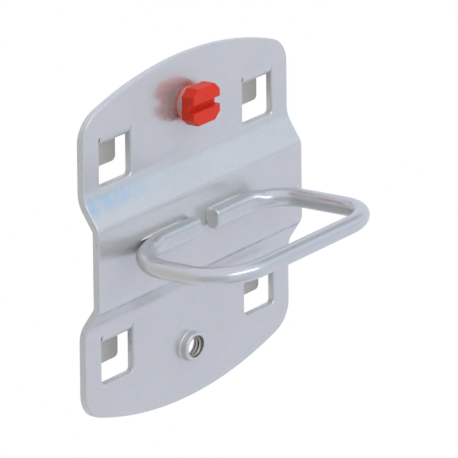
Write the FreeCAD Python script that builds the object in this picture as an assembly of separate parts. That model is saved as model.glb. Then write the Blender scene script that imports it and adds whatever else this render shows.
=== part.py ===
import FreeCAD, Part

import math
import os

V = FreeCAD.Vector

# Square-hole tool panel that the hook hangs in
hole_pitch = 38.0

# Back plate: outline, seen from the front
side_strip = 4.3
crown_above_windows = 9.6
edge_arc_radius = 66.9
corner_radius = 5.7

# Back plate: sheet and its pressed channel
sheet = 1.35
channel_depth = 3.45
channel_centre = 0.5
channel_half_height = 7.75
slope_height = 5.0
flange_bend_radius = 5.0
channel_bend_radius = 1.4
edge_rounding = 0.25

# Windows and the hooking tongues bent out of them
window_width = 8.0
window_above_row = 5.0
window_below_row = 4.25
window_low_radius = 0.7
window_high_radius = 0.4
window_rounding = 0.45
tongue_side_clearance = 0.12
tongue_bend_radius = 0.25
tongue_root = 1.0
panel_gap = 2.3
tongue_tip_below_row = 1.9
tongue_corner_radius = 0.9

# Threaded collars drawn out of the sheet on the centre line
upper_collar_below_crown = 9.45
lower_collar_below_crown = 9.9
collar_height = 1.5
collar_radius = 2.75
collar_bore_radius = 2.05
collar_rim_rounding = 0.35
collar_bore_rounding = 0.1
collar_foot_radius = 0.3
collar_mouth_radius = 0.6

# Wire loop, welded to the channel
wire_radius = 1.74
loop_height = 1.7
loop_left = -23.8
loop_right = 16.7
loop_reach = 31.8
rear_left_bend = 11.3
rear_right_bend = 7.8
front_left_bend = 8.6
front_right_bend = 7.6
left_end = -3.6
right_end = 0.7
weld_depth = 3.0
weld_height = 3.95
weld_corner_radius = 1.25
left_press_end = -16.5
right_press_end = 13.2
press_run_out = 14.0
end_rounding = 0.4

# Locking screw
head_across_flats = 7.2
head_corner_cut = 1.37
head_height = 3.05
head_gap = 0.17
head_rounding = 0.3
slot_width = 1.55
slot_depth = 1.45
shank_clearance = 0.05
shank_past_back = 1.0
shank_tip_chamfer = 0.5

# Fits worked out from the sizes above
row_offset = hole_pitch / 2
plate_width = hole_pitch + window_width + 2 * side_strip
plate_half_height = row_offset + window_above_row + crown_above_windows
upper_collar_z = plate_half_height - upper_collar_below_crown
lower_collar_z = lower_collar_below_crown - plate_half_height
channel_front = -(sheet + channel_depth)
tongue_width = window_width - 2 * tongue_side_clearance
collar_rim = -(sheet + collar_height)
weld_line = channel_front - weld_depth / 2
shank_radius = collar_bore_radius - shank_clearance
head_back = collar_rim - head_gap
head_front = head_back - head_height

CUT_MARGIN = 5.0
TOUCH = 1e-4
ALMOST_SHARP = 0.001
ALMOST_HALF = 0.999


def side_view(point):
    """A point of the side view: its first number runs along Y, its second along Z."""
    return V(0, point.x, point.y)


def front_view(point):
    """A point of the front view: its first number runs along X, its second along Z."""
    return V(point.x, 0, point.y)


def loop_view(point):
    """A point of the wire loop's own level plane."""
    return V(point.x, point.y, loop_height)


def flat(*pairs):
    return [V(a, b, 0) for a, b in pairs]


def rounded_path(points, radii, place):
    """Edges along a polyline whose inner corners are tangent arcs of the given radii."""
    edges = []
    reached = points[0]
    for index, radius in enumerate(radii, start=1):
        corner = points[index]
        back = (points[index - 1] - corner).normalize()
        ahead = (points[index + 1] - corner).normalize()
        half_angle = back.getAngle(ahead) / 2
        reach = radius / math.tan(half_angle)
        centre = corner + (back + ahead).normalize() * (radius / math.sin(half_angle))
        middle = centre + (corner - centre).normalize() * radius
        first = corner + back * reach
        last = corner + ahead * reach
        if reached.distanceToPoint(first) > TOUCH:
            edges.append(Part.makeLine(place(reached), place(first)))
        edges.append(Part.Arc(place(first), place(middle), place(last)).toShape())
        reached = last
    if reached.distanceToPoint(points[-1]) > TOUCH:
        edges.append(Part.makeLine(place(reached), place(points[-1])))
    return edges


def offset_points(points, distance):
    """The polyline moved sideways, to its left where the distance is positive."""
    normals = []
    for start, end in zip(points, points[1:]):
        along = (end - start).normalize()
        normals.append(V(-along.y, along.x, 0))
    moved = [points[0] + normals[0] * distance]
    for corner, before, after in zip(points[1:-1], normals, normals[1:]):
        bisector = (before + after).normalize()
        moved.append(corner + bisector * (distance / bisector.dot(before)))
    moved.append(points[-1] + normals[-1] * distance)
    return moved


def turns_left(points, index):
    before = points[index] - points[index - 1]
    after = points[index + 1] - points[index]
    return before.cross(after).z > 0


def sheet_faces(points, inside_radii, thickness):
    """Both faces of a bent sheet, each as a polyline and its radii; a positive thickness lies to the left."""
    lies_left = thickness > 0
    first_radii = []
    second_radii = []
    for index, inside_radius in enumerate(inside_radii, start=1):
        outside_radius = inside_radius + abs(thickness)
        sheet_is_inside = turns_left(points, index) == lies_left
        first_radii.append(outside_radius if sheet_is_inside else inside_radius)
        second_radii.append(inside_radius if sheet_is_inside else outside_radius)
    return (points, first_radii), (offset_points(points, thickness), second_radii)


def sheet_section(points, inside_radii, thickness):
    """A bent sheet's closed section in the side view."""
    first, second = sheet_faces(points, inside_radii, thickness)
    edges = rounded_path(*first, side_view) + rounded_path(*second, side_view)
    for start, end in zip((first[0][0], first[0][-1]), (second[0][0], second[0][-1])):
        edges.append(Part.makeLine(side_view(start), side_view(end)))
    return Part.Face(Part.Wire(Part.__sortEdges__(edges)))


def across(face, width):
    """A side-view section made into a solid of that width, centred on X = 0."""
    moved = face.translated(V(-width / 2, 0, 0))
    return moved.extrude(V(width, 0, 0))


def through(wire):
    """A front-view outline made into a solid that runs right through the plate and its tongues."""
    depth = abs(channel_front) + panel_gap + sheet + 2 * CUT_MARGIN
    face = Part.Face(wire).translated(V(0, channel_front - CUT_MARGIN, 0))
    return face.extrude(V(0, depth, 0))


def turned(points, arcs, centre_height):
    """A solid turned about an axis along Y from (radius, y) points; arcs gives the bulge after a point."""
    edges = []
    for index, start in enumerate(points):
        end = points[(index + 1) % len(points)]
        ends = [V(radius, y, centre_height) for radius, y in (start, end)]
        if index in arcs:
            radius, y = arcs[index]
            edges.append(Part.Arc(ends[0], V(radius, y, centre_height), ends[1]).toShape())
        else:
            edges.append(Part.makeLine(*ends))
    face = Part.Face(Part.Wire(edges))
    return face.revolve(V(0, 0, centre_height), V(0, 1, 0), 360)


def on_arc(centre, radius, degrees):
    angle = math.radians(degrees)
    return centre[0] + radius * math.cos(angle), centre[1] + radius * math.sin(angle)


def plate_corner(side, end, share):
    """A point on one of the outline's round corners, from share 0 at the side to 1 at the curved edge."""
    corner_x = plate_width / 2 - corner_radius
    arc_centre = plate_half_height - edge_arc_radius
    corner_z = arc_centre + math.sqrt((edge_arc_radius - corner_radius) ** 2 - corner_x ** 2)
    meets_at = math.degrees(math.atan2(corner_z - arc_centre, corner_x))
    x, z = on_arc((corner_x, corner_z), corner_radius, meets_at * share)
    return V(side * x, 0, end * z)


def plate_outline():
    """The plate's front view: straight sides, curved top and bottom edges and round corners."""
    edges = []
    for end in (1, -1):
        crown = V(0, 0, end * plate_half_height)
        for side in (1, -1):
            arc = [plate_corner(side, end, share) for share in (0, 0.5, 1)]
            edges.append(Part.Arc(*arc).toShape())
        edges.append(Part.Arc(plate_corner(1, end, 1), crown, plate_corner(-1, end, 1)).toShape())
    for side in (1, -1):
        edges.append(Part.makeLine(plate_corner(side, -1, 0), plate_corner(side, 1, 0)))
    return Part.Wire(Part.__sortEdges__(edges))


def plate_front_points():
    """Sharp corners of the plate's front face in the side view, from the bottom up."""
    flange = -sheet
    crease = channel_half_height + slope_height
    low, high = (channel_centre - channel_half_height, channel_centre + channel_half_height)
    return flat((flange, -plate_half_height - CUT_MARGIN), (flange, channel_centre - crease),
                (channel_front, low), (channel_front, high),
                (flange, channel_centre + crease), (flange, plate_half_height + CUT_MARGIN))


def touches(shape, point):
    return shape.distToShape(Part.Vertex(point))[0] < TOUCH


def pressed_blank():
    """The plate with its channel, its front edges rounded by the press."""
    front_points = plate_front_points()
    bends = [flange_bend_radius, channel_bend_radius, channel_bend_radius, flange_bend_radius]
    outline = plate_outline()
    profile = across(sheet_section(front_points, bends, -sheet), plate_width + 2 * CUT_MARGIN)
    blank = profile.common(through(outline))
    front_face, _ = sheet_faces(front_points, bends, -sheet)
    front_line = Part.Wire(rounded_path(*front_face, side_view))
    front_edges = []
    for edge in blank.Edges:
        middle = edge.valueAt((edge.FirstParameter + edge.LastParameter) / 2)
        on_front = touches(front_line, V(0, middle.y, middle.z))
        on_outline = touches(outline, V(middle.x, 0, middle.z))
        if on_front and on_outline:
            front_edges.append(edge)
    return blank.makeFillet(edge_rounding, front_edges)


def rounded_rectangle(low, high, low_radius, high_radius):
    """A front-view rectangle with one radius at its lower corners and one at its upper ones."""
    middle = (low[0] + high[0]) / 2
    points = flat((middle, low[1]), (high[0], low[1]), (high[0], high[1]),
                  (low[0], high[1]), (low[0], low[1]), (middle, low[1]))
    radii = [low_radius, high_radius, high_radius, low_radius]
    return Part.Wire(rounded_path(points, radii, front_view))


def window(x, row):
    half = window_width / 2
    low = (x - half, row - window_below_row)
    high = (x + half, row + window_above_row)
    return through(rounded_rectangle(low, high, window_low_radius, window_high_radius))


def round_window_edges(plate, centres):
    """The press rolls the front edge of each window over."""
    chosen = []
    for edge in plate.Edges:
        box = edge.BoundBox
        flat_on_front = abs(box.YMin + sheet) < TOUCH and abs(box.YMax + sheet) < TOUCH
        in_window = any(abs(box.Center.x - x) < window_width and abs(box.Center.z - row) < window_width
                        for x, row in centres)
        if flat_on_front and in_window:
            chosen.append(edge)
    return plate.makeFillet(window_rounding, chosen)


def tongue(x, row):
    """The strap that leaves the window's upper edge, crosses the panel's hole and drops behind it."""
    top = row + window_above_row
    shelf = top - (tongue_bend_radius + sheet)
    tip = row - tongue_tip_below_row
    points = flat((-sheet, top + tongue_root), (-sheet, shelf), (panel_gap, shelf), (panel_gap, tip))
    strap = across(sheet_section(points, [tongue_bend_radius] * 2, sheet), tongue_width)
    half = tongue_width / 2
    outline = rounded_rectangle((-half, tip), (half, top + tongue_root), tongue_corner_radius, ALMOST_SHARP)
    return strap.common(through(outline)).translated(V(x, 0, 0))


def collar(height):
    """The drawn collar: a concave foot on the plate, a straight wall and a flat rim with rounded edges."""
    outside = collar_rim_rounding
    inside = collar_bore_rounding
    foot = collar_foot_radius
    buried = -sheet / 2
    points = [(collar_bore_radius, buried),
              (collar_bore_radius, collar_rim + inside),
              (collar_bore_radius + inside, collar_rim),
              (collar_radius - outside, collar_rim),
              (collar_radius, collar_rim + outside),
              (collar_radius, -sheet - foot),
              (collar_radius + foot, -sheet),
              (collar_radius + foot, buried)]
    arcs = {1: on_arc((collar_bore_radius + inside, collar_rim + inside), inside, 225),
            3: on_arc((collar_radius - outside, collar_rim + outside), outside, 315),
            5: on_arc((collar_radius + foot, -sheet - foot), foot, 135)}
    return turned(points, arcs, height)


def collar_bore(height):
    """The bore with the round mouth that drawing leaves at the sheet's back."""
    mouth = collar_mouth_radius
    front = collar_rim - CUT_MARGIN
    points = [(0, front),
              (collar_bore_radius, front),
              (collar_bore_radius, -mouth),
              (collar_bore_radius + mouth, 0),
              (collar_bore_radius + mouth, CUT_MARGIN),
              (0, CUT_MARGIN)]
    arcs = {2: on_arc((collar_bore_radius + mouth, -mouth), mouth, 135)}
    return turned(points, arcs, height)


def back_plate():
    centres = [(x, row) for x in (-row_offset, row_offset) for row in (-row_offset, row_offset)]
    plate = pressed_blank()
    plate = plate.cut([window(x, row) for x, row in centres])
    plate = round_window_edges(plate, centres)
    plate = plate.fuse([tongue(x, row) for x, row in centres])
    collar_heights = (lower_collar_z, upper_collar_z)
    plate = plate.fuse([collar(height) for height in collar_heights])
    plate = plate.cut([collar_bore(height) for height in collar_heights])
    return plate.removeSplitter()


def loop_section(x, depth, height, corner):
    """The wire's section at X: a rounded rectangle, which is round when its corner is its half size."""
    half_depth = depth / 2
    half_height = height / 2
    points = flat((0, -half_height), (half_depth, -half_height), (half_depth, half_height),
                  (-half_depth, half_height), (-half_depth, -half_height), (0, -half_height))
    edges = rounded_path(points, [corner] * 4, lambda point: V(x, weld_line + point.x, loop_height + point.y))
    return Part.Wire(edges)


def welded_bar(end_x, press_end, loop_x, radius):
    """One rear bar: its pressed section from the cut end into the bend, then a run-out to round wire.

    Also gives the two points that carry on from it: the run-out's end and where its tangent meets the side.
    """
    side = 1 if loop_x > end_x else -1
    bend_x = loop_x - side * radius
    centre = V(bend_x, weld_line - radius, loop_height)
    round_angle = math.degrees(math.asin(side * (press_end - bend_x) / radius))
    pressed_angle = round_angle - press_run_out
    up = V(0, 0, 1)
    pressed = loop_section(bend_x, weld_depth, weld_height, weld_corner_radius)
    nearly_round = loop_section(bend_x, 2 * wire_radius, 2 * wire_radius, wire_radius * ALMOST_HALF)
    straight = Part.Face(pressed).extrude(V(end_x - bend_x, 0, 0))
    end_edges = [edge for edge in straight.Edges if abs(edge.BoundBox.XMax - edge.BoundBox.XMin) < TOUCH
                 and abs(edge.BoundBox.XMin - end_x) < TOUCH]
    straight = straight.makeFillet(end_rounding, end_edges)
    turning = Part.Face(pressed).revolve(centre, up, -side * pressed_angle)
    run_out = Part.makeLoft([pressed.rotated(centre, up, -side * pressed_angle),
                             nearly_round.rotated(centre, up, -side * round_angle)], True, True)
    angle = math.radians(round_angle)
    leaves = V(bend_x + side * radius * math.sin(angle), centre.y + radius * math.cos(angle), 0)
    corner_y = leaves.y - math.tan(angle) * abs(loop_x - leaves.x)
    return [straight, turning, run_out], leaves, V(loop_x, corner_y, 0)


def round_wire(points, radii):
    """The round wire swept along its bends."""
    path = Part.Wire(rounded_path(points, radii, loop_view))
    start = loop_view(points[0])
    section = Part.Wire(Part.makeCircle(wire_radius, start, points[1] - points[0]))
    return path.makePipeShell([section], True, True)


def wire_loop():
    left_bar, left_leaves, left_corner = welded_bar(left_end, left_press_end, loop_left, rear_left_bend)
    right_bar, right_leaves, right_corner = welded_bar(right_end, right_press_end, loop_right, rear_right_bend)
    points = [left_leaves, left_corner, V(loop_left, -loop_reach, 0),
              V(loop_right, -loop_reach, 0), right_corner, right_leaves]
    radii = [rear_left_bend, front_left_bend, front_right_bend, rear_right_bend]
    loop = round_wire(points, radii).fuse([*left_bar, *right_bar])
    behind_channel = Part.makeBox(plate_width * 2, CUT_MARGIN, plate_width,
                                  V(-plate_width, channel_front, loop_height - plate_width / 2))
    return loop.cut(behind_channel).removeSplitter()


def screw_head():
    """A square head with cut corners and a slot across its front."""
    half = head_across_flats / 2
    cut = half - head_corner_cut
    corners = flat((half, cut), (cut, half), (-cut, half), (-half, cut),
                   (-half, -cut), (-cut, -half), (cut, -half), (half, -cut), (half, cut))
    face = Part.Face(Part.makePolygon([front_view(corner) for corner in corners]))
    head = face.translated(V(0, head_front, 0)).extrude(V(0, head_height, 0))
    head = head.makeFillet(head_rounding, head.Edges)
    slot = Part.makeBox(head_across_flats * 2, slot_depth + CUT_MARGIN, slot_width,
                        V(-head_across_flats, head_front - CUT_MARGIN, -slot_width / 2))
    return head.cut(slot)


def locking_screw():
    length = shank_past_back - head_back
    shank = Part.makeCylinder(shank_radius, length, V(0, head_back, 0), V(0, 1, 0))
    tip = [edge for edge in shank.Edges if edge.BoundBox.YMin > shank_past_back - TOUCH]
    shank = shank.makeChamfer(shank_tip_chamfer, tip)
    overlap = Part.makeCylinder(shank_radius, head_height - slot_depth, V(0, head_back, 0), V(0, -1, 0))
    screw = screw_head().fuse([shank, overlap]).removeSplitter()
    return screw.translated(V(0, 0, upper_collar_z))


os.makedirs("parts", exist_ok=True)
nodes = {"back_plate": back_plate(), "wire_loop": wire_loop(), "locking_screw": locking_screw()}
for name, shape in nodes.items():
    solid = shape.Solids[0] if len(shape.Solids) == 1 else shape
    print(name, solid.ShapeType, "valid", solid.isValid(), "solids", len(shape.Solids),
          "volume", round(solid.Volume, 1), "faces", len(solid.Faces))
    solid.exportStep(f"parts/{name}.step")
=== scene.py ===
import math

import bmesh
import bpy
from mathutils import Matrix, Vector


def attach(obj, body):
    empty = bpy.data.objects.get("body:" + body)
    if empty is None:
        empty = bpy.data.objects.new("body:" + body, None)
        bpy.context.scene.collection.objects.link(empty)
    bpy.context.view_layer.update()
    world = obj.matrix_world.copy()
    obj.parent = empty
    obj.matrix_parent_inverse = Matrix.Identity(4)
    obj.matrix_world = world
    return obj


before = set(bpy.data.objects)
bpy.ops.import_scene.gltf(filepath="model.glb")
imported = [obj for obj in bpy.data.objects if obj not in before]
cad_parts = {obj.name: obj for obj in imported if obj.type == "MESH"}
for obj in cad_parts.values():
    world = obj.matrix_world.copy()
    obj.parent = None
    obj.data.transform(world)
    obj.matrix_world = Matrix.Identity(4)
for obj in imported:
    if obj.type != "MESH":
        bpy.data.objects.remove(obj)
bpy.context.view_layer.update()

scene = bpy.context.scene
MM = 0.001

# The photograph is a crop far from its lens axis, so the film isn't square to the line of sight
CAMERA_AT = Vector((-0.73025, -0.65821, 0.34558))
FILM_RIGHT = Vector((0.36798, -0.92955, 0.02321))
FILM_UP = Vector((0.07849, 0.05592, 0.99535))
SIGHT_LINE = Vector((0.70556, 0.62540, -0.33326))
LENS_MM = 428.95
SENSOR_MM = 36.0
CLIP_RANGE = (0.05, 10.0)

# The studio: (name, azimuth, elevation, distance in m, side in m, watts) for each lamp
SOFTBOXES = (
    ("front_softbox", -12, 28, 1.6, 1.2, 12.0),
    ("top_softbox", 44, 66, 1.2, 0.8, 5.0),
)
FLOOR_HEIGHT = -0.30
FLOOR_HALF_SIDE = 3.0
FLOOR_COLOUR = (0.8, 0.8, 0.8, 1)
WHITE = (1, 1, 1, 1)
WORLD_STRENGTH = 0.55

# What the polished metal mirrors: (azimuth, elevation, full radius, fading radius, colour), angles in
# degrees from the front towards +X and up; later entries lie over earlier ones
LAMP_COLOUR = (3.5, 3.65, 3.8)
SURROUNDINGS = (
    (50, 16, 8, 28, (0.75, 0.87, 1.02)),
    (50, 3, 3, 9, (0.60, 0.65, 0.73)),
    (-130, -6, 20, 56, (0.72, 0.72, 0.69)),
    (-72, -8, 16, 44, (0.54, 0.58, 0.64)),
    (83, 44, 4, 24, (0.44, 0.48, 0.55)),
    (118, -40, 6, 16, (0.72, 0.75, 0.86)),
    (-15, -52, 10, 30, (0.57, 0.59, 0.60)),
    (-4, -24, 14, 36, (0.70, 0.77, 0.90)),
    (-30, 29, 3, 8, LAMP_COLOUR),
    (-18, 30, 3, 8, LAMP_COLOUR),
    (-6, 30, 3, 8, LAMP_COLOUR),
    (6, 29, 3, 8, LAMP_COLOUR),
    (18, 26, 3, 8, LAMP_COLOUR),
)
OPEN_LEVEL = (0.832, 0.86, 1.01, 1)

# Base colours of the metal
ZINC_DARKER = (0.643, 0.643, 0.632, 1)
ZINC_LIGHTER = (0.659, 0.659, 0.648, 1)
# Painted shade in the tapped bore's grooves; its crests are paler
BORE_GROOVE_SHADE = (0.186, 0.161, 0.137, 1)
BORE_CREST = (0.571, 0.546, 0.497, 1)
CROPPED_END = (0.76, 0.75, 0.71, 1)
# Painted shade along the lower bend's crease
CREASE_SHADE = (0.348, 0.397, 0.447, 1)
# Weld metal made pale as a painted highlight along the rear bars
BEAD_HIGHLIGHT_DARKER = (0.80, 0.84, 0.88, 1)
BEAD_HIGHLIGHT_LIGHTER = (0.92, 0.93, 0.94, 1)

# Marks on the metal: (colour, how strongly it covers the metal)
ZINC_MOTTLE = (0.616, 0.632, 0.626, 1), 0.25
ZINC_BLUER = (0.551, 0.637, 0.670, 1), 0.35
ZINC_SPECK = (0.199, 0.199, 0.199, 1), 0.35
# Painted reflection: a blue band along the channel's upper bend
BLUE_REFLECTION_PAINT = (0.459, 0.583, 0.696, 1), 0.9
SHEARED_EDGE = (0.707, 0.720, 0.720, 1), 0.9
BURNT_SPECK = (0.212, 0.224, 0.224, 1), 0.45
RED_GLOW = (0.778, 0.184, 0.108, 1), 0.7
# Painted shade on the tongues behind the windows
TONGUE_SHADE = (0.589, 0.567, 0.508, 1), 0.9

# Base colours of the screw
RED_DARKER = (0.60, 0.028, 0.010, 1)
RED_LIGHTER = (0.64, 0.034, 0.014, 1)
# Painted shade in the grooves of the shank's thread
RED_GROOVE_SHADE = (0.36, 0.010, 0.008, 1)

# Roughness: what each mark adds, and (least, spread) where it varies
HAZE_ADDS = 0.38
EDGE_ADDS = 0.2
BORE_ADDS = 0.1
TONGUE_ADDS = 0.16
ZINC_SPREAD = 0.06
WELD_ROUGHNESS = (0.2, 0.2)
RED_ROUGHNESS = (0.26, 0.16)

# Depth in mm of a bump of height one, and the heights of what is laid over each other
ZINC_RELIEF = 0.004
GRAIN_HEIGHT = 0.06
RIPPLE_HEIGHT = 2.2
WELD_RELIEF = 0.01
RED_RELIEF = 0.01
TURN_HEIGHT = 14.0
MOULD_HEIGHT = 1.6

# How much of the painted blue reflection is left where it breaks up, and what full cover adds
BAND_LEFT = 0.4
BAND_COVER = 0.6

# Parts of the normal between which a mark fades in: along Y, then its size along Y for the next two,
# and its size along X for the last
FACES_FRONT = (0.1, -0.1)
SHEARED_FACE = (0.35, 0.12)
ROUNDED_EDGE = (0.92, 0.6)
END_FACE = (0.8, 0.95)

# Where the marks lie, in mm; a mark fades in from the first number of a pair to the second
SHEAR_FORWARDS = (0.3, -0.05)
BORE_FORWARDS = (0.1, -0.1)
BAND_LEFTWARDS = (-4.0, -24.0)
BAND_FROM_BELOW = (9.6, 11.6)
BAND_FROM_ABOVE = (14.2, 12.8)
CREASE_SHADE_DROP = 8.15
CREASE_SHADE_INWARDS = (0.62, 0.10)
CREASE_SHADE_RIGHTWARDS = (-8.0, 6.0)
CREASE_SHADE_STRENGTHS = (0.55, 0.95)
BORE_INWARDS = (2.12, 2.0)
CREST_INWARDS = (1.98, 1.74)
GLOW_INWARDS = (4.5, 3.1)
GLOW_BACKWARDS = (-1.9, -1.6)
TONGUE_BACKWARDS = (0.3, 1.2)
WIRE_ENDS_MIDDLE = -2.0
WIRE_ENDS_INWARDS = (4.2, 4.0)
WIRE_ENDS_BACKWARDS = (-9.0, -8.5)
SHANK_INWARDS = (2.2, 2.1)
SHANK_BACKWARDS = (-3.1, -3.0)

# The tapped ridge of the open collar and the turns on the screw, in mm
THREAD_PITCH = 0.7
BORE_RADIUS = 2.05
RIDGE_RADIUS = 1.66
COLLAR_Z = -23.7
SCREW_Z = 24.15
THREAD_BACK = -0.75
THREAD_FRONT = -2.72

# The ridge's section: (share of its height, share of the pitch). At both ends the ridge rises from
# nothing, so fast that a whole turn would lift it THREAD_RISE times its height
THREAD_SECTION = ((-0.10, 0.46), (0.26, 0.34), (0.72, 0.14), (1.0, 0.05),
                  (1.0, -0.05), (0.72, -0.14), (0.26, -0.34), (-0.10, -0.46))
THREAD_SPAN = 0.98
THREAD_RISE = 3
THREAD_STEPS_A_TURN = 56

# Weld bead in the groove behind the rear bars: (x, z, share of full thickness), in mm
BEAD_RADIUS = 0.27
BEAD_Y = -5.05
BEAD_SIDES = 10
BEAD_ROUNDINGS = 3
LEFT_BEAD = ((-16.6, 3.05, 0.3), (-15.0, 3.12, 0.8), (-12.0, 3.16, 1.0),
             (-8.0, 3.16, 1.0), (-5.6, 3.14, 0.8), (-4.6, 3.06, 0.3))
RIGHT_BEAD = ((0.95, 0.30, 0.3), (0.92, 0.90, 0.8), (0.92, 2.50, 1.0),
              (1.15, 3.10, 1.0), (2.2, 3.16, 1.0), (5.0, 3.16, 1.0),
              (8.5, 3.14, 1.0), (10.4, 3.10, 0.7), (11.6, 3.02, 0.3))


def photo_camera():
    """The camera of the photograph. Its parent's offset holds the tilt of the film."""
    data = bpy.data.cameras.new("photo_camera")
    camera = bpy.data.objects.new("photo_camera", data)
    stand = bpy.data.objects.new("camera_stand", None)
    for item in (camera, stand):
        scene.collection.objects.link(item)
    placed = Matrix.Identity(4)
    for column, film_axis in enumerate((FILM_RIGHT, FILM_UP, -SIGHT_LINE)):
        placed.col[column][:3] = film_axis.normalized()
    placed.translation = CAMERA_AT
    camera.parent = stand
    camera.matrix_parent_inverse = placed
    data.sensor_width = SENSOR_MM
    data.lens = LENS_MM
    data.clip_start, data.clip_end = CLIP_RANGE
    scene.camera = camera


def direction(azimuth, elevation):
    """A unit vector; azimuth turns from the front towards +X."""
    azimuth, elevation = math.radians(azimuth), math.radians(elevation)
    level = math.cos(elevation)
    return Vector((math.sin(azimuth) * level, -math.cos(azimuth) * level, math.sin(elevation)))


class Nodes:
    """A short way to write a node tree."""

    def __init__(self, tree):
        self.tree = tree
        tree.nodes.clear()

    def add(self, kind, settings=None, **inputs):
        """A node with its inputs fed by name, or by number as in0, in1 and so on."""
        node = self.tree.nodes.new("ShaderNode" + kind)
        for name, value in (settings or {}).items():
            setattr(node, name, value)
        for name, value in inputs.items():
            self.feed(node, name.replace("_", " "), value)
        return node

    def feed(self, node, name, value):
        name = int(name[2:]) if name.startswith("in") and name[2:].isdigit() else name
        socket = node.inputs[name]
        if isinstance(value, bpy.types.NodeSocket):
            self.tree.links.new(value, socket)
        else:
            socket.default_value = value

    def math(self, operation, first, second=0.0, clamp=False):
        settings = {"operation": operation, "use_clamp": clamp}
        return self.add("Math", settings, in0=first, in1=second).outputs[0]

    def vector_math(self, operation, first, second=(0, 0, 0)):
        return self.add("VectorMath", {"operation": operation}, in0=first, in1=second).outputs

    def total(self, first, *others):
        for other in others:
            first = self.math("ADD", first, other)
        return first

    def product(self, first, *others):
        for other in others:
            first = self.math("MULTIPLY", first, other)
        return first

    def radius(self, across, up):
        """The distance from an axis along Y, from the two offsets."""
        return self.math("SQRT", self.total(self.product(across, across), self.product(up, up)))

    def fade(self, value, low, high, at_low=0.0, at_high=1.0):
        """A smooth step from one value to another; low may be larger than high."""
        if low > high:
            low, high, at_low, at_high = high, low, at_high, at_low
        return self.add("MapRange", {"interpolation_type": "SMOOTHSTEP"}, Value=value, From_Min=low,
                        From_Max=high, To_Min=at_low, To_Max=at_high).outputs[0]

    def blend(self, factor, first, second):
        node = self.add("Mix", {"data_type": "RGBA"})
        self.feed(node, "in0", factor)
        self.feed(node, "in6", first)
        self.feed(node, "in7", second)
        return node.outputs[2]

    def marked(self, colour, mark, *shares):
        """The colour with a mark laid over it by the product of the shares."""
        tint, strength = mark
        return self.blend(self.product(*shares, strength), colour, tint)

    def millimetres(self, stretch=(1, 1, 1)):
        """The point of the object in millimetres, times the stretch along each axis."""
        place = self.add("TexCoord").outputs["Object"]
        return self.vector_math("MULTIPLY", place, tuple(part / MM for part in stretch))[0]

    def normal(self):
        return self.axes(self.add("TexCoord").outputs["Normal"])

    def noise(self, scale, detail, stretch=(1, 1, 1)):
        """Noise of about that many patches a mm."""
        place = self.millimetres(stretch)
        return self.add("TexNoise", Vector=place, Scale=scale, Detail=detail).outputs[0]

    def patches(self, scale, detail, low, high, stretch=(1, 1, 1)):
        """Patches of noise, which fade in between two of its levels."""
        return self.fade(self.noise(scale, detail, stretch), low, high)

    def axes(self, vector):
        return self.add("SeparateXYZ", in0=vector).outputs

    def bump(self, height, reach):
        """A bumped normal; reach is the depth in mm of a height of one."""
        return self.add("Bump", Strength=1.0, Distance=reach * MM, Height=height).outputs[0]

    def surface(self, **inputs):
        """The material's one shader, led to its output."""
        shader = self.add("BsdfPrincipled", **inputs)
        self.add("OutputMaterial", Surface=shader.outputs[0])


def new_material(name):
    material = bpy.data.materials.new(name)
    material.use_nodes = True
    return material, Nodes(material.node_tree)


def mirrored_colour(n, sight):
    """The colour of the surroundings along a direction."""
    colour = OPEN_LEVEL
    for azimuth, elevation, full, fading, tint in SURROUNDINGS:
        facing = n.vector_math("DOT_PRODUCT", sight, direction(azimuth, elevation))["Value"]
        inside = n.fade(facing, math.cos(math.radians(fading)), math.cos(math.radians(full)))
        colour = n.blend(inside, colour, (*tint, 1))
    return colour


def by_ray(n, lit, mirrored, white):
    """White to the camera, the surroundings to metal and glass, and lit to everything else."""
    path = n.add("LightPath").outputs
    in_mirror = n.math("ADD", path["Is Glossy Ray"], path["Is Transmission Ray"], clamp=True)
    unseen = n.add("MixShader", in0=in_mirror, in1=lit, in2=mirrored).outputs[0]
    return n.add("MixShader", in0=path["Is Camera Ray"], in1=unseen, in2=white).outputs[0]


def pale_floor():
    """A pale floor well under the hook, white where the camera sees it."""
    mesh = bpy.data.meshes.new("floor")
    shape = bmesh.new()
    bmesh.ops.create_grid(shape, x_segments=2, y_segments=2, size=FLOOR_HALF_SIDE)
    shape.to_mesh(mesh)
    shape.free()
    floor = bpy.data.objects.new("floor", mesh)
    floor.location.z = FLOOR_HEIGHT
    scene.collection.objects.link(floor)
    material, n = new_material("pale_floor")
    place = n.add("NewGeometry").outputs["Position"]
    sight = n.vector_math("NORMALIZE", place)[0]
    lit = n.add("BsdfDiffuse", Color=FLOOR_COLOUR).outputs[0]
    mirrored = n.add("Emission", Color=mirrored_colour(n, sight), Strength=1.0).outputs[0]
    white = n.add("Emission", Color=WHITE, Strength=1.0).outputs[0]
    n.add("OutputMaterial", Surface=by_ray(n, lit, mirrored, white))
    mesh.materials.append(material)


def studio_world():
    """Soft light from all round, in a world that shows white."""
    world = bpy.data.worlds.new("studio")
    world.use_nodes = True
    scene.world = world
    n = Nodes(world.node_tree)
    sight = n.add("TexCoord").outputs["Generated"]
    lit = n.add("Background", Color=WHITE, Strength=WORLD_STRENGTH).outputs[0]
    mirrored = n.add("Background", Color=mirrored_colour(n, sight), Strength=1.0).outputs[0]
    white = n.add("Background", Color=WHITE, Strength=1.0).outputs[0]
    n.add("OutputWorld", Surface=by_ray(n, lit, mirrored, white))


def softbox(name, azimuth, elevation, distance, side, watts):
    """A large lamp; what it looks like in metal is part of the surroundings."""
    data = bpy.data.lights.new(name, "AREA")
    data.size = side
    data.energy = watts
    lamp = bpy.data.objects.new(name, data)
    away = direction(azimuth, elevation)
    lamp.location = away * distance
    lamp.rotation_euler = away.to_track_quat("Z", "Y").to_euler()
    lamp.visible_camera = False
    lamp.visible_glossy = False
    scene.collection.objects.link(lamp)


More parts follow.
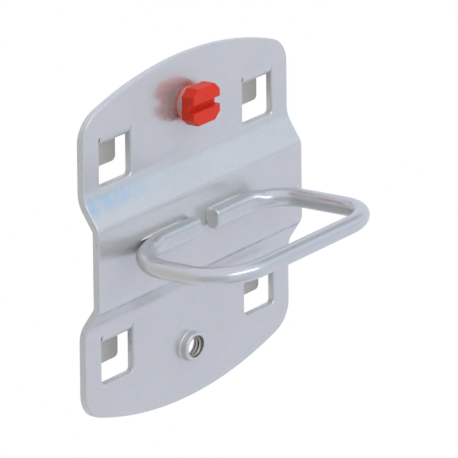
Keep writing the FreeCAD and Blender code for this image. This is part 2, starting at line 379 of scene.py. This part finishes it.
def zinc(name, metallic, roughness, haze, is_sheet):
    """Bright blue-passivated zinc: faint mottling, bluer patches, haze and specks."""
    material, n = new_material(name)
    x, y, z = n.axes(n.millimetres())
    colour = n.blend(n.patches(0.09, 3.0, 0.35, 0.68), ZINC_DARKER, ZINC_LIGHTER)
    colour = n.marked(colour, ZINC_MOTTLE, n.patches(0.9, 3.0, 0.3, 0.7))
    colour = n.marked(colour, ZINC_BLUER, n.patches(0.22, 2.0, 0.55, 0.74, (1, 1, 2.2)))
    hazy = n.patches(24.0, 1.0, 0.5 - haze, 0.62 - haze)
    gloss = n.total(n.product(n.noise(0.5, 4.0), ZINC_SPREAD), roughness, n.product(hazy, HAZE_ADDS))
    if is_sheet:
        colour, gloss = sheet_marks(n, colour, gloss, x, y, z)
    else:
        colour = cropped_ends(n, colour, x, y)
    colour = n.marked(colour, ZINC_SPECK, n.patches(2.3, 2.0, 0.74, 0.80))
    grain = n.noise(9.0, 3.0, (0.25, 1, 1) if is_sheet else (1, 1, 1))
    ripple = n.noise(0.5, 1.0)
    relief = n.total(n.product(grain, GRAIN_HEIGHT), n.product(ripple, RIPPLE_HEIGHT))
    n.surface(Metallic=metallic, Base_Color=colour, Roughness=gloss,
              Normal=n.bump(relief, ZINC_RELIEF))
    return material


def sheet_marks(n, colour, gloss, x, y, z):
    """The plate's marks and painted light, from its bends and edges to its bore and tongues."""
    normal_y = n.normal()[1]
    in_front = n.fade(normal_y, *FACES_FRONT)
    facing = n.math("ABSOLUTE", normal_y)

    # Painted reflection: a blue band, broken up in places, along the left part of the channel's upper
    # bend
    blue_reflection_mask = n.product(n.fade(x, *BAND_LEFTWARDS), in_front,
                     n.product(n.fade(z, *BAND_FROM_BELOW), n.fade(z, *BAND_FROM_ABOVE)))
    whole = n.patches(0.45, 3.0, 0.30, 0.65, (1.8, 1, 0.5))
    left = n.total(n.product(whole, BAND_COVER), BAND_LEFT)
    colour = n.marked(colour, BLUE_REFLECTION_PAINT, n.product(blue_reflection_mask, left))

    # Painted shade: a blotchy dark line along the lower bend's crease, stronger to the right
    crease = n.fade(n.math("ABSOLUTE", n.total(z, CREASE_SHADE_DROP)), *CREASE_SHADE_INWARDS)
    blotchy = n.product(n.patches(1.1, 4.0, 0.34, 0.60, (0.7, 1, 0.8)), in_front)
    strength = n.fade(x, *CREASE_SHADE_RIGHTWARDS, *CREASE_SHADE_STRENGTHS)
    colour = n.blend(n.product(crease, blotchy, strength), colour, CREASE_SHADE)

    # Sheared edges: dull and pale, with burnt specks on them and beside them
    sheared = n.product(n.fade(facing, *SHEARED_FACE), n.fade(y, *SHEAR_FORWARDS))
    colour = n.marked(colour, SHEARED_EDGE, sheared)
    gloss = n.total(gloss, n.product(sheared, EDGE_ADDS))
    burnt = n.product(n.patches(1.9, 2.0, 0.66, 0.72, (1, 1, 0.8)), n.fade(facing, *ROUNDED_EDGE))
    colour = n.marked(colour, BURNT_SPECK, burnt)

    # The open collar's tapped bore: grooves darkened with painted shade, and paler crests
    bore_radius = n.radius(x, n.math("SUBTRACT", z, COLLAR_Z))
    tapped = n.product(n.fade(bore_radius, *BORE_INWARDS), n.fade(y, *BORE_FORWARDS))
    groove_shade_and_crest = n.blend(n.fade(bore_radius, *CREST_INWARDS), BORE_GROOVE_SHADE, BORE_CREST)
    colour = n.blend(tapped, colour, groove_shade_and_crest)
    gloss = n.total(gloss, n.product(tapped, BORE_ADDS))

    # The red light that the screw's head throws on the metal behind it
    head_radius = n.radius(x, n.math("SUBTRACT", z, SCREW_Z))
    glow = n.product(n.fade(head_radius, *GLOW_INWARDS), n.fade(y, *GLOW_BACKWARDS))
    colour = n.marked(colour, RED_GLOW, glow, in_front)

    # The tongues' faces behind the windows: painted shade makes them darker and warmer, and they are
    # rougher
    behind = n.product(n.fade(y, *TONGUE_BACKWARDS), in_front)
    colour = n.marked(colour, TONGUE_SHADE, behind)
    gloss = n.total(gloss, n.product(behind, TONGUE_ADDS))
    return colour, gloss


def cropped_ends(n, colour, x, y):
    """The pale faces where the wire was cropped, between the rear bars."""
    sideways = n.math("ABSOLUTE", n.normal()[0])
    off_middle = n.math("ABSOLUTE", n.math("SUBTRACT", x, WIRE_ENDS_MIDDLE))
    between = n.product(n.fade(off_middle, *WIRE_ENDS_INWARDS), n.fade(y, *WIRE_ENDS_BACKWARDS))
    return n.blend(n.product(n.fade(sideways, *END_FACE), between), colour, CROPPED_END)


def pale_weld_highlight():
    """Metal squeezed out of the weld, made pale as a painted highlight along the rear bars."""
    material, n = new_material("pale_weld_highlight")
    least, spread = WELD_ROUGHNESS
    colour = n.blend(n.patches(1.2, 3.0, 0.35, 0.65), BEAD_HIGHLIGHT_DARKER, BEAD_HIGHLIGHT_LIGHTER)
    gloss = n.total(n.product(n.noise(4.0, 3.0), spread), least)
    n.surface(Metallic=0.35, Base_Color=colour, Roughness=gloss,
              Normal=n.bump(n.noise(3.0, 3.0), WELD_RELIEF))
    return material


def red_plastic():
    """Semi-gloss moulded plastic, with the turns of its thread on the shank."""
    material, n = new_material("red_plastic")
    least, spread = RED_ROUGHNESS
    x, y, z = n.axes(n.millimetres())
    colour = n.blend(n.patches(0.8, 3.0, 0.3, 0.7), RED_DARKER, RED_LIGHTER)
    rise = n.math("SUBTRACT", z, SCREW_Z)
    on_shank = n.product(n.fade(n.radius(x, rise), *SHANK_INWARDS), n.fade(y, *SHANK_BACKWARDS))
    turn = n.math("DIVIDE", n.math("ARCTAN2", rise, x), 2 * math.pi)
    phase = n.total(n.math("DIVIDE", y, THREAD_PITCH), turn)
    groove = n.math("SINE", n.product(phase, 2 * math.pi))
    # Painted shade darkens the thread's grooves on the shank
    colour = n.blend(n.product(on_shank, n.fade(groove, 0.2, -0.9)), colour, RED_GROOVE_SHADE)
    relief = n.total(n.product(groove, on_shank, TURN_HEIGHT),
                     n.product(n.noise(5.0, 4.0), MOULD_HEIGHT))
    gloss = n.total(n.product(n.noise(1.6, 4.0), spread), least)
    n.surface(Base_Color=colour, Roughness=gloss, Normal=n.bump(relief, RED_RELIEF),
              Specular_IOR_Level=0.22)
    return material


def dress(node, material):
    """Gives every face of a CAD node the same material."""
    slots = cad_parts[node].data.materials
    if len(slots):
        for index in range(len(slots)):
            slots[index] = material
    else:
        slots.append(material)


def strip(name, rows, material):
    """A closed strip of mesh through rows of points in mm, capped at both ends."""
    shape = bmesh.new()
    rows = [[shape.verts.new(Vector(point) * MM) for point in row] for row in rows]
    sides = len(rows[0])
    for first, second in zip(rows, rows[1:]):
        for index in range(sides):
            after = (index + 1) % sides
            shape.faces.new((first[index], first[after], second[after], second[index]))
    shape.faces.new(rows[0])
    shape.faces.new(reversed(rows[-1]))
    bmesh.ops.recalc_face_normals(shape, faces=shape.faces)
    for face in shape.faces:
        face.smooth = True
    mesh = bpy.data.meshes.new(name)
    shape.to_mesh(mesh)
    shape.free()
    mesh.materials.append(material)
    piece = bpy.data.objects.new(name, mesh)
    scene.collection.objects.link(piece)
    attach(piece, "holder")


def collar_thread(material):
    """The tapped ridge inside the open collar: rounded crest, thinned out at both ends."""
    turns = (THREAD_BACK - THREAD_FRONT) / THREAD_PITCH
    steps = round(turns * THREAD_STEPS_A_TURN)
    depth = BORE_RADIUS - RIDGE_RADIUS
    rows = []
    for step in range(steps + 1):
        share = step / steps
        angle = 2 * math.pi * turns * share
        fullness = min(1.0, share * turns * THREAD_RISE, (1 - share) * turns * THREAD_RISE)
        row = []
        for inward, along in THREAD_SECTION:
            radius = BORE_RADIUS - depth * (inward * fullness if inward > 0 else inward)
            y = THREAD_FRONT + (turns * share + along * fullness * THREAD_SPAN) * THREAD_PITCH
            row.append((radius * math.cos(angle), y, COLLAR_Z + radius * math.sin(angle)))
        rows.append(row)
    strip("collar_thread", rows, material)


def rounded_route(route):
    """The route with each corner cut a quarter of the way along its sides; its ends stay."""
    rounded = [route[0]]
    for first, second in zip(route, route[1:]):
        for share in (0.25, 0.75):
            rounded.append(tuple(a + (b - a) * share for a, b in zip(first, second)))
    return rounded + [route[-1]]


def weld_bead(name, route, material):
    """The bead squeezed out of the weld along the back of a rear bar, made bright with a painted
    highlight.
    """
    for _ in range(BEAD_ROUNDINGS):
        route = rounded_route(route)
    rows = []
    for index, (x, z, thickness) in enumerate(route):
        before, after = route[max(index - 1, 0)], route[min(index + 1, len(route) - 1)]
        radius = BEAD_RADIUS * thickness
        across = Vector((before[1] - after[1], 0, after[0] - before[0])).normalized()
        across = across * BEAD_RADIUS * thickness
        row = []
        for side in range(BEAD_SIDES):
            turn = 2 * math.pi * side / BEAD_SIDES
            row.append(Vector((x, BEAD_Y + radius * math.sin(turn), z)) + across * math.cos(turn))
        rows.append(row)
    strip(name, rows, material)


photo_camera()
pale_floor()
studio_world()
for softbox_facts in SOFTBOXES:
    softbox(*softbox_facts)
sheet_zinc = zinc("sheet_zinc", metallic=0.82, roughness=0.17, haze=0.05, is_sheet=True)
wire_zinc = zinc("wire_zinc", metallic=0.94, roughness=0.17, haze=0.01, is_sheet=False)
dress("back_plate", sheet_zinc)
dress("wire_loop", wire_zinc)
dress("locking_screw", red_plastic())
collar_thread(sheet_zinc)
bead_highlight_material = pale_weld_highlight()
weld_bead("left_weld_bead", LEFT_BEAD, bead_highlight_material)
weld_bead("right_weld_bead", RIGHT_BEAD, bead_highlight_material)

scene.view_settings.view_transform = "Standard"
